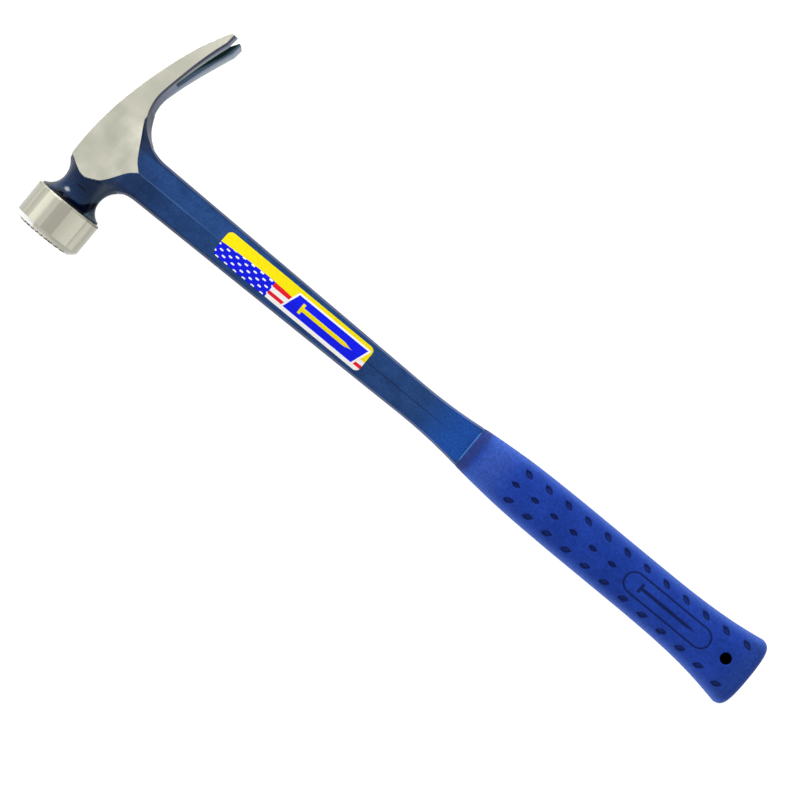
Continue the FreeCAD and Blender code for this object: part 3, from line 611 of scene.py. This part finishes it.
# ---------------------------------------------------------------- label
def label_material():
    """Printed film: a yellow band over a blue field with white dashes and red and white stripes."""
    shader = Shader("label_film")
    x, y, _ = shader.place_from(LABEL_LOW.x)
    field = shader.mix(dash_mask(shader, x, y), LABEL_BLUE, LABEL_WHITE)
    stripes = LABEL_WHITE
    for low, high in LABEL_RED_STRIPES:
        stripes = shader.mix(shader.times(above(shader, y, low), below(shader, y, high)), stripes, LABEL_RED)
    colour = shader.mix(above(shader, x, LABEL_FIELD_END), field, stripes)
    wave = shader.math("SINE", shader.times(x, 2 * math.pi / LABEL_WAVE_LENGTH))
    band_edge = shader.add(shader.times(wave, LABEL_WAVE_HEIGHT), LABEL_WAVE_MIDDLE)
    colour = shader.mix(above(shader, shader.subtract(y, band_edge), 0.0), colour, LABEL_YELLOW)
    colour = shader.mix(slanted_bar(shader, x, y, *BADGE_RIM), colour, LABEL_WHITE)
    colour = shader.mix(slanted_bar(shader, x, y, *BADGE), colour, LABEL_BLUE)
    colour = shader.mix(nail_mask(shader, x, y), colour, LABEL_YELLOW)
    wear_and_sheen = shader.noise(800.0, 4, 0.7)
    colour = shader.dimmed(colour, shader.ramp(wear_and_sheen, 0.25, 0.7, 0.93, 1.03))
    normal = shader.bump(shader.noise(500.0, 3), 0.02 * MM)
    return shader.finish(base_color=colour, roughness=shader.ramp(wear_and_sheen, 0.3, 0.7, 0.3, 0.42),
                         specular_ior_level=0.05, normal=normal)


def above(shader, value, limit):
    return shader.ramp(value, limit - PRINT_BLUR, limit + PRINT_BLUR)


def below(shader, value, limit):
    return shader.ramp(value, limit + PRINT_BLUR, limit - PRINT_BLUR)


def dash_mask(shader, x, y):
    """Short white dashes in rows, each second row shifted by half a pitch."""
    row_height, pitch, length, width = 1.9, 5.4, 2.0, 0.85
    row = shader.math("FLOOR", shader.math("DIVIDE", y, row_height))
    shift = shader.times(shader.math("PINGPONG", row, 1.0), pitch / 2)
    along = shader.math("FLOORED_MODULO", shader.add(x, shift), pitch)
    across = shader.math("FLOORED_MODULO", y, row_height)
    along_off = shader.math("DIVIDE", shader.subtract(along, pitch / 2), length / 2)
    across_off = shader.math("DIVIDE", shader.subtract(across, row_height / 2), width / 2)
    out = shader.add(shader.math("POWER", shader.size(along_off), 3.0),
                     shader.math("POWER", shader.size(across_off), 3.0))
    return below(shader, out, 1.0)


def slanted_bar(shader, x, y, start, end, half_height):
    """A plain bar with slanted ends, level with the label."""
    level = shader.subtract(y, BADGE_MIDDLE)
    upright = shader.subtract(x, shader.times(level, BADGE_LEAN))
    return shader.times(above(shader, upright, start), below(shader, upright, end),
                        below(shader, shader.size(level), half_height))


def nail_mask(shader, x, y):
    """A plain nail lying along the bar: head, shank and point."""
    off = shader.size(shader.subtract(y, BADGE_MIDDLE))
    past_head = above(shader, x, NAIL_HEAD_X)
    head = shader.times(past_head, below(shader, x, NAIL_HEAD_X + NAIL_HEAD_LENGTH),
                        below(shader, off, NAIL_HEAD_HALF))
    half = shader.ramp(x, NAIL_SHANK_END, NAIL_POINT, 1.0, 0.0)
    within_half = below(shader, shader.subtract(off, half), 0.0)
    shank = shader.times(past_head, below(shader, x, NAIL_POINT), within_half)
    return shader.math("MAXIMUM", head, shank)


# ---------------------------------------------------------------- floor
def floor_material():
    """Pale matte card on a light table, so that no shadow darkens it."""
    shader = Shader("floor_card")
    tone = shader.ramp(shader.noise(300.0, 4, 0.6), 0.3, 0.7, 0.19, 0.21)
    colour = shader.dimmed((1.0, 1.0, 1.0), tone)
    return shader.finish(base_color=colour, roughness=0.95, specular_ior_level=0.0,
                         emission_color=(1.0, 1.0, 1.0, 1.0), emission_strength=FLOOR_GLOW)


def give(node, material):
    mesh = frame["nodes"][node].data
    mesh.materials.clear()
    mesh.materials.append(material)


# ---------------------------------------------------------------- the grip's mesh
def grip_size_at(x):
    """Half width, half thickness and distance off centre, on a smooth curve through the stations."""
    stations = np.array(GRIP_STATIONS)
    slopes = np.gradient(stations[:, 1:], stations[:, 0], axis=0)
    index = int(np.clip(np.searchsorted(stations[:, 0], x) - 1, 0, len(stations) - 2))
    gap = stations[index + 1, 0] - stations[index, 0]
    part_way = (x - stations[index, 0]) / gap
    start_share = 2 * part_way ** 3 - 3 * part_way ** 2 + 1
    start_pull = part_way ** 3 - 2 * part_way ** 2 + part_way
    end_pull = part_way ** 3 - part_way ** 2
    return (start_share * stations[index, 1:] + (1 - start_share) * stations[index + 1, 1:]
            + gap * (start_pull * slopes[index] + end_pull * slopes[index + 1]))


def ring(x, half_width, half_thickness, off_centre, roundness):
    """Points of a rounded section, evenly spaced round it."""
    fine = np.linspace(0, 2 * np.pi, RING_SAMPLES, endpoint=False)
    y = np.sign(np.cos(fine)) * np.abs(np.cos(fine)) ** (2 / roundness) * half_width
    z = np.sign(np.sin(fine)) * np.abs(np.sin(fine)) ** (2 / roundness) * half_thickness
    steps = np.hypot(np.diff(y, append=y[0]), np.diff(z, append=z[0]))
    travelled = np.concatenate([[0], np.cumsum(steps)])
    wanted = np.linspace(0, travelled[-1], GRIP_AROUND, endpoint=False)
    y = np.interp(wanted, travelled, np.append(y, y[0]))
    z = np.interp(wanted, travelled, np.append(z, z[0]))
    return np.stack([np.full(GRIP_AROUND, x), y + off_centre, z], axis=1)


def soft_step(value, start, end):
    share = np.clip((value - start) / (end - start), 0, 1)
    return share * share * (3 - 2 * share)


def dimple_depth(x, y, centre_x, centre_y, tilt, size):
    """How deep a leaf-shaped dimple is: 1 at its middle, with steep walls and a dished floor."""
    length, width = size
    along = (x - centre_x) * math.cos(tilt) + (y - centre_y) * math.sin(tilt)
    across = (y - centre_y) * math.cos(tilt) - (x - centre_x) * math.sin(tilt)
    reach = np.clip(1 - (2 * along / length) ** 2, 0, None)
    edge = reach * width / 2 - np.abs(across)
    wall, floor = soft_step(edge, *DIMPLE_WALL), soft_step(edge, *DIMPLE_FLOOR)
    return DIMPLE_WALL_SHARE * wall + (1 - DIMPLE_WALL_SHARE) * floor


def dimple_shade(depth):
    """Darkest on a dimple's walls, a little lighter on its floor."""
    return soft_step(depth, 0.05, 0.5) * (0.95 - 0.4 * soft_step(depth, 0.72, 0.98))


def dimples_depth(x, y):
    depth = np.zeros_like(x)
    for index in range(DIMPLE_OUTER_COUNT):
        centre_x = DIMPLE_OUTER_START + index * DIMPLE_OUTER_PITCH
        half_width, _, off_centre = grip_size_at(centre_x)
        spread = np.interp(index, (0, DIMPLE_WIDENING_COUNT), DIMPLE_OUTER_SPREAD) * half_width
        for side in (1, -1):
            centre_y = off_centre + side * spread
            pocket = dimple_depth(x, y, centre_x, centre_y, -side * DIMPLE_TILT, DIMPLE_OUTER_SIZE)
            depth = np.maximum(depth, pocket)
    for index in range(DIMPLE_MIDDLE_COUNT):
        centre_x = DIMPLE_MIDDLE_START + index * DIMPLE_MIDDLE_PITCH
        depth = np.maximum(depth, dimple_depth(x, y, centre_x, 0, 0, DIMPLE_MIDDLE_SIZE))
    return depth


def emblem_depth(x, y):
    """A plain nail inside a round-ended frame."""
    along = x - EMBLEM_X
    straight = EMBLEM_HALF_LENGTH - EMBLEM_HALF_HEIGHT
    from_spine = np.hypot(np.clip(np.abs(along) - straight, 0, None), y)
    off_line = np.abs(from_spine - EMBLEM_HALF_HEIGHT) - EMBLEM_STROKE / 2
    line = 1 - soft_step(off_line, *EMBLEM_LINE_EDGE)
    half = np.interp(along, [EMBLEM_NAIL_SHANK_END, EMBLEM_NAIL_POINT], [EMBLEM_NAIL_HALF, 0.0])
    inside_ends = np.minimum(along - EMBLEM_NAIL_HEAD, EMBLEM_NAIL_POINT - along)
    shank = soft_step(np.minimum(half - np.abs(y), inside_ends), *EMBLEM_EDGE)
    head_length, head_half = EMBLEM_NAIL_HEAD_HALF
    inside_head = np.minimum(head_length - np.abs(along - EMBLEM_NAIL_HEAD), head_half - np.abs(y))
    head = soft_step(inside_head, *EMBLEM_EDGE)
    return np.maximum(line, np.maximum(shank, head))


def grip_rings():
    """The skin's rings, from inside the tang's socket, round the lip, along and over the butt."""
    rings = []
    for x, half_width in SOCKET_RINGS:
        rings.append(ring(x, half_width, SOCKET_HALF_THICKNESS, 0, SOCKET_ROUNDNESS))
    half_width, half_thickness, off_centre = grip_size_at(0)
    for turn in np.linspace(0, np.pi / 2, LIP_RINGS):
        inset = LIP_RADIUS * (1 - math.sin(turn))
        rings.append(ring(LIP_RADIUS * (1 - math.cos(turn)), half_width - inset, half_thickness - inset,
                          off_centre, GRIP_ROUNDNESS))
    straight_end = GRIP_LENGTH - BUTT_RADIUS - BUTT_CROWN
    for x in np.arange(LIP_RADIUS + GRIP_STEP, straight_end, GRIP_STEP):
        rings.append(ring(x, *grip_size_at(x), GRIP_ROUNDNESS))
    for turn in np.linspace(0, np.pi / 2 * BUTT_TURN, BUTT_RINGS):
        x = straight_end + BUTT_RADIUS * math.sin(turn)
        half_width, half_thickness, off_centre = grip_size_at(x)
        inset = BUTT_RADIUS * (1 - math.cos(turn))
        rings.append(ring(x, half_width - inset, half_thickness - inset, off_centre, GRIP_ROUNDNESS))
    last = rings[-1]
    middle = last.mean(axis=0)
    for scale in END_SCALES:
        shrunk = middle + (last - middle) * scale
        shrunk[:, 0] = last[0, 0] + (GRIP_LENGTH - last[0, 0]) * (1 - scale ** 2)
        rings.append(shrunk)
    return np.array(rings)


def grip_surface():
    """The skin's points, how much painted shade each has for being pressed in, and how much painted sheen."""
    rings = grip_rings()
    points = rings.reshape(-1, 3)
    x, y, z = points.T
    outside = np.repeat(np.arange(len(rings)) >= len(SOCKET_RINGS), GRIP_AROUND)
    flat_side = soft_step(np.abs(z), *FLAT_HEIGHTS) * outside
    pressed = dimples_depth(x, y) * flat_side
    emblem = emblem_depth(x, y) * flat_side
    from_hole = np.hypot(x - HOLE_X, y) - HOLE_RADIUS
    rim = (1 - soft_step(from_hole, -0.1, HOLE_SOFTENING)) * flat_side
    line_ends = soft_step(x, *MOULD_LINE_START) * soft_step(GRIP_LENGTH - x, *MOULD_LINE_END)
    line = np.exp(-(z / (MOULD_LINE_WIDTH / 2)) ** 2) * outside * line_ends
    sunk = pressed * DIMPLE_DEPTH + emblem * EMBLEM_DEPTH + rim * HOLE_RIM_DEPTH
    points = points + ring_normals(rings) * (line * MOULD_LINE_HEIGHT - sunk)[:, None]
    shade = np.maximum(dimple_shade(pressed), emblem * EMBLEM_SHADE)
    return points, shade, sheen_share(z, outside)


def make_grip():
    points, shade, wear_and_sheen = grip_surface()
    mesh = bpy.data.meshes.new("grip_skin")
    mesh.from_pydata((points * MM).tolist(), [], grip_faces(len(points) // GRIP_AROUND))
    mesh.polygons.foreach_set("use_smooth", [True] * len(mesh.polygons))
    for name, value in (("pressed", shade), ("wear_and_sheen", wear_and_sheen)):
        attribute = mesh.attributes.new(name, "FLOAT", "POINT")
        attribute.data.foreach_set("value", value.astype(np.float32))
    grip = bpy.data.objects.new("grip_skin", mesh)
    bpy.context.scene.collection.objects.link(grip)
    mesh.transform(Matrix.Translation((GRIP_LOW.x, HANDLE_Y, MID_Z)))
    cut_hole(grip)
    grip.data.materials.append(grip_material())
    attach(grip, "root")
    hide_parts("moulded_grip")


def sheen_share(z, outside):
    """Painted sheen on the grip: lighter on the curve down to its sides."""
    return (1 - soft_step(np.abs(z), *SHEEN_HEIGHTS)) * SHEEN_SHARE * outside


def ring_normals(rings):
    """Outward directions of the skin at every point of the rings."""
    around = np.roll(rings, -1, axis=1) - np.roll(rings, 1, axis=1)
    along = np.gradient(rings, axis=0)
    normals = np.cross(around, along).reshape(-1, 3)
    lengths = np.linalg.norm(normals, axis=1, keepdims=True)
    normals = normals / np.maximum(lengths, 1e-9)
    outward = rings.reshape(-1, 3) - rings.mean(axis=1).repeat(GRIP_AROUND, axis=0)
    flip = np.sign(np.sum(normals * outward, axis=1, keepdims=True))
    return normals * np.where(flip == 0, 1, flip)


def grip_faces(ring_count):
    """A face in every cell between the rings, and one across each end."""
    faces = []
    for row in range(ring_count - 1):
        low = row * GRIP_AROUND
        high = low + GRIP_AROUND
        for column in range(GRIP_AROUND):
            beside = (column + 1) % GRIP_AROUND
            faces.append((low + column, high + column, high + beside, low + beside))
    first = list(range(GRIP_AROUND))
    last = list(range((ring_count - 1) * GRIP_AROUND, ring_count * GRIP_AROUND))
    return faces + [first, last[::-1]]


def cut_hole(grip):
    """The hang hole, cut right through the butt."""
    mesh = bpy.data.meshes.new("hole_cutter")
    form = bmesh.new()
    radius = HOLE_RADIUS * MM
    bmesh.ops.create_cone(form, cap_ends=True, segments=HOLE_SIDES, radius1=radius, radius2=radius,
                          depth=CUTTER_LENGTH * MM)
    form.to_mesh(mesh)
    form.free()
    cutter = bpy.data.objects.new("hole_cutter", mesh)
    bpy.context.scene.collection.objects.link(cutter)
    cutter.location = MOUNTS["hang_hole"]
    modifier = grip.modifiers.new("hole", "BOOLEAN")
    modifier.operation = "DIFFERENCE"
    modifier.object = cutter
    modifier.solver = "EXACT"
    bpy.context.view_layer.update()
    cut = bpy.data.meshes.new_from_object(grip.evaluated_get(bpy.context.evaluated_depsgraph_get()))
    grip.modifiers.clear()
    grip.data = cut
    bpy.data.objects.remove(cutter)


# ---------------------------------------------------------------- camera, floor and light
def make_camera():
    data = bpy.data.cameras.new("camera")
    data.sensor_width = SENSOR_MM
    data.lens = SENSOR_MM * VIEW_DISTANCE / VIEW_FIELD
    camera = bpy.data.objects.new("camera", data)
    camera.location = VIEW_AIM + Vector((0, 0, VIEW_DISTANCE))
    camera.rotation_euler = (0, 0, VIEW_ROLL)
    bpy.context.scene.collection.objects.link(camera)
    bpy.context.scene.camera = camera


def make_floor():
    mesh = bpy.data.meshes.new("floor")
    corners = [(x * FLOOR_HALF, y * FLOOR_HALF, 0) for x, y in ((-1, -1), (1, -1), (1, 1), (-1, 1))]
    mesh.from_pydata(corners, [], [(0, 1, 2, 3)])
    floor = bpy.data.objects.new("floor", mesh)
    floor.location.z = LOW.z - FLOOR_DROP
    bpy.context.scene.collection.objects.link(floor)
    mesh.materials.append(floor_material())


def make_light():
    """A white room, dimmer overhead than round its walls, and the softboxes."""
    world = bpy.data.worlds.new("world")
    bpy.context.scene.world = world
    world.use_nodes = True
    tree = world.node_tree
    direction = tree.nodes.new("ShaderNodeTexCoord").outputs["Generated"]
    height = tree.nodes.new("ShaderNodeSeparateXYZ")
    tree.links.new(direction, height.inputs[0])
    strength = tree.nodes.new("ShaderNodeMapRange")
    strength.inputs["From Min"].default_value = WALL_TOP
    strength.inputs["From Max"].default_value = 1.0
    strength.inputs["To Min"].default_value = WALL_STRENGTH
    strength.inputs["To Max"].default_value = CEILING_STRENGTH
    tree.links.new(height.outputs["Z"], strength.inputs["Value"])
    background = tree.nodes["Background"]
    background.inputs["Color"].default_value = (1, 1, 1, 1)
    tree.links.new(strength.outputs[0], background.inputs["Strength"])
    for name, (place, size, watts) in SOFTBOXES.items():
        softbox(name, place, size, watts)


def softbox(name, place, size, watts):
    light = bpy.data.lights.new(name, "AREA")
    light.size = size
    light.energy = watts
    lamp = bpy.data.objects.new(name, light)
    lamp.location = place
    lamp.visible_camera = False
    lamp.rotation_euler = (LIT_PLACE - lamp.location).to_track_quat("-Z", "Y").to_euler()
    bpy.context.scene.collection.objects.link(lamp)


make_camera()
make_floor()
make_light()
give("forged_steel_head_and_shank", steel_material())
give("blue_enamel_coat", enamel_material())
give("printed_shank_label", label_material())
make_grip()
bpy.context.scene.view_settings.view_transform = "Standard"
